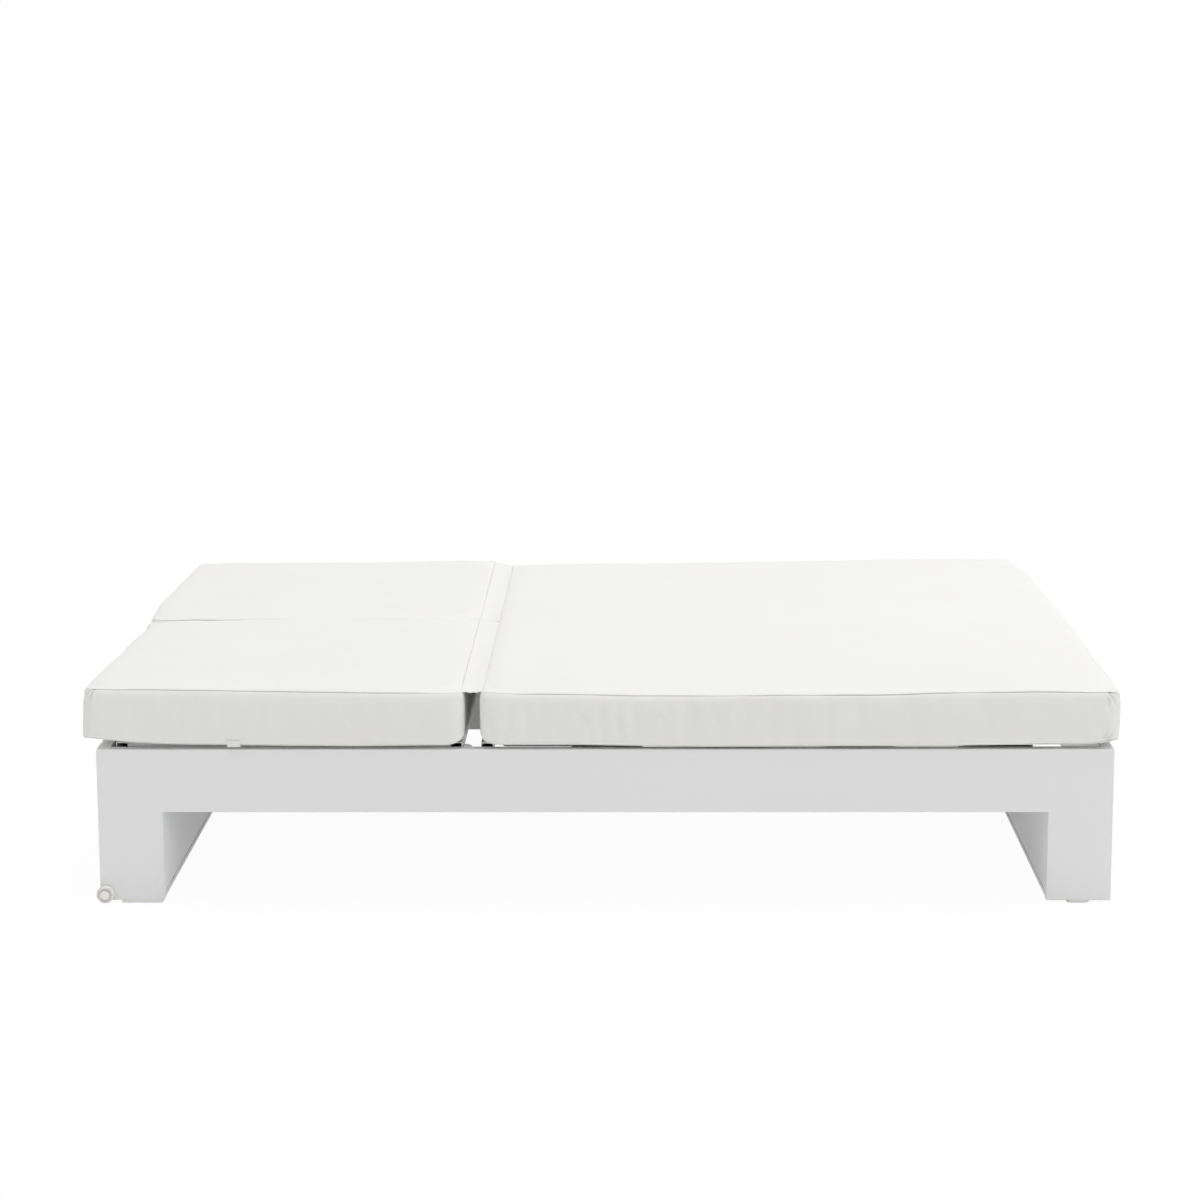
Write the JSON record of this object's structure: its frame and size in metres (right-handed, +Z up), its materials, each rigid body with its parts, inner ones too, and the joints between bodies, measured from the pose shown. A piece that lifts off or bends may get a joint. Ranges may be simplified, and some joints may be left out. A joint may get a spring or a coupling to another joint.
{
  "type": "double chaise lounger",
  "caption": "Low double chaise lounger with a plank-tube frame, slatted deck, lifting backrests on notched props, rollers, and boxed cushions joined by fabric flaps.",
  "frame": {"origin": "on the floor, under the middle of the whole lounger", "axes": "+X from the head end to the foot end, +Y from the near long side to the far one, +Z up"},
  "size_m": [2.042, 1.53, 0.44],
  "materials": {
    "powder_coat": "white powder coat",
    "cushion_fabric": "woven outdoor cloth",
    "fabric_tape": "woven",
    "roller_plastic": "satin",
    "foot_plastic": "satin",
    "plated_steel": "zinc plated"
  },
  "bodies": {
    "frame": {"near_side_rail": "powder_coat", "near_head_leg": "powder_coat", "near_foot_leg": "powder_coat", "near_seat_ledge": "powder_coat", "near_backrest_ledge": "powder_coat", "near_outer_rack": "powder_coat", "near_inner_rack": "powder_coat", "near_rack_bar": "powder_coat", "near_cushion_flap": "fabric_tape", "far_side_rail": "powder_coat", "far_head_leg": "powder_coat", "far_foot_leg": "powder_coat", "far_seat_ledge": "powder_coat", "far_backrest_ledge": "powder_coat", "far_outer_rack": "powder_coat", "far_inner_rack": "powder_coat", "far_rack_bar": "powder_coat", "far_cushion_flap": "fabric_tape", "head_end_rail": "powder_coat", "foot_end_rail": "powder_coat", "head_leg_board": "powder_coat", "foot_leg_board": "powder_coat", "centre_beam": "powder_coat", "seat_cross_tube": "powder_coat", "seat_slat_1": "powder_coat", "seat_slat_2": "powder_coat", "seat_slat_3": "powder_coat", "seat_slat_4": "powder_coat", "slat_screws": "plated_steel", "hinge_plates": "powder_coat", "hinge_pins": "plated_steel", "leg_plugs": "foot_plastic", "leg_pads": "foot_plastic", "foot_glides": "foot_plastic", "wheel_bolts": "plated_steel", "seat_cushion": "cushion_fabric"},
    "near_backrest": {"near_backrest_outer_tube": "powder_coat", "near_backrest_inner_tube": "powder_coat", "near_backrest_head_tube": "powder_coat", "near_backrest_hinge_tube": "powder_coat", "near_backrest_slat_1": "powder_coat", "near_backrest_slat_2": "powder_coat", "near_backrest_slat_3": "powder_coat", "near_prop_pins": "plated_steel"},
    "near_prop": {"near_prop_bail": "powder_coat"},
    "near_cushion": {"near_back_cushion": "cushion_fabric", "near_cushion_strap": "fabric_tape"},
    "near_roller": {"near_wheel": "roller_plastic"},
    "far_backrest": {"far_backrest_outer_tube": "powder_coat", "far_backrest_inner_tube": "powder_coat", "far_backrest_head_tube": "powder_coat", "far_backrest_hinge_tube": "powder_coat", "far_backrest_slat_1": "powder_coat", "far_backrest_slat_2": "powder_coat", "far_backrest_slat_3": "powder_coat", "far_prop_pins": "plated_steel"},
    "far_prop": {"far_prop_bail": "powder_coat"},
    "far_cushion": {"far_back_cushion": "cushion_fabric", "far_cushion_strap": "fabric_tape"},
    "far_roller": {"far_wheel": "roller_plastic"}
  },
  "joints": [
    {"name": "near_backrest_hinge", "type": "hinge", "parent": "frame", "child": "near_backrest", "pos_m": [-0.263, -0.36925, 0.304], "axis": [0, 1, 0], "range_deg": [0, 55]},
    {"name": "near_prop_pivot", "type": "hinge", "parent": "near_backrest", "child": "near_prop", "pos_m": [-0.573, -0.36925, 0.304], "axis": [0, 1, 0], "range_deg": [-110, 0]},
    {"name": "near_cushion_fold", "type": "hinge", "parent": "frame", "child": "near_cushion", "pos_m": [-0.21421, -0.36925, 0.39702], "axis": [0, 1, 0], "range_deg": [0, 55], "deforming": ["near_cushion_flap"]},
    {"name": "near_wheel_spin", "type": "hinge", "parent": "frame", "child": "near_roller", "pos_m": [-0.982, -0.757, 0.0194], "axis": [0, 1, 0], "continuous": true},
    {"name": "far_backrest_hinge", "type": "hinge", "parent": "frame", "child": "far_backrest", "pos_m": [-0.263, 0.36925, 0.304], "axis": [0, 1, 0], "range_deg": [0, 55]},
    {"name": "far_prop_pivot", "type": "hinge", "parent": "far_backrest", "child": "far_prop", "pos_m": [-0.573, 0.36925, 0.304], "axis": [0, 1, 0], "range_deg": [-110, 0]},
    {"name": "far_cushion_fold", "type": "hinge", "parent": "frame", "child": "far_cushion", "pos_m": [-0.21421, 0.36925, 0.39702], "axis": [0, 1, 0], "range_deg": [0, 55], "deforming": ["far_cushion_flap"]},
    {"name": "far_wheel_spin", "type": "hinge", "parent": "frame", "child": "far_roller", "pos_m": [-0.982, 0.757, 0.0194], "axis": [0, 1, 0], "continuous": true}
  ],
  "couplings": [
    {"joint": "near_prop_pivot", "follows": "near_backrest_hinge", "ratio": -2},
    {"joint": "near_cushion_fold", "follows": "near_backrest_hinge", "ratio": 1},
    {"joint": "far_prop_pivot", "follows": "far_backrest_hinge", "ratio": -2},
    {"joint": "far_cushion_fold", "follows": "far_backrest_hinge", "ratio": 1}
  ]
}
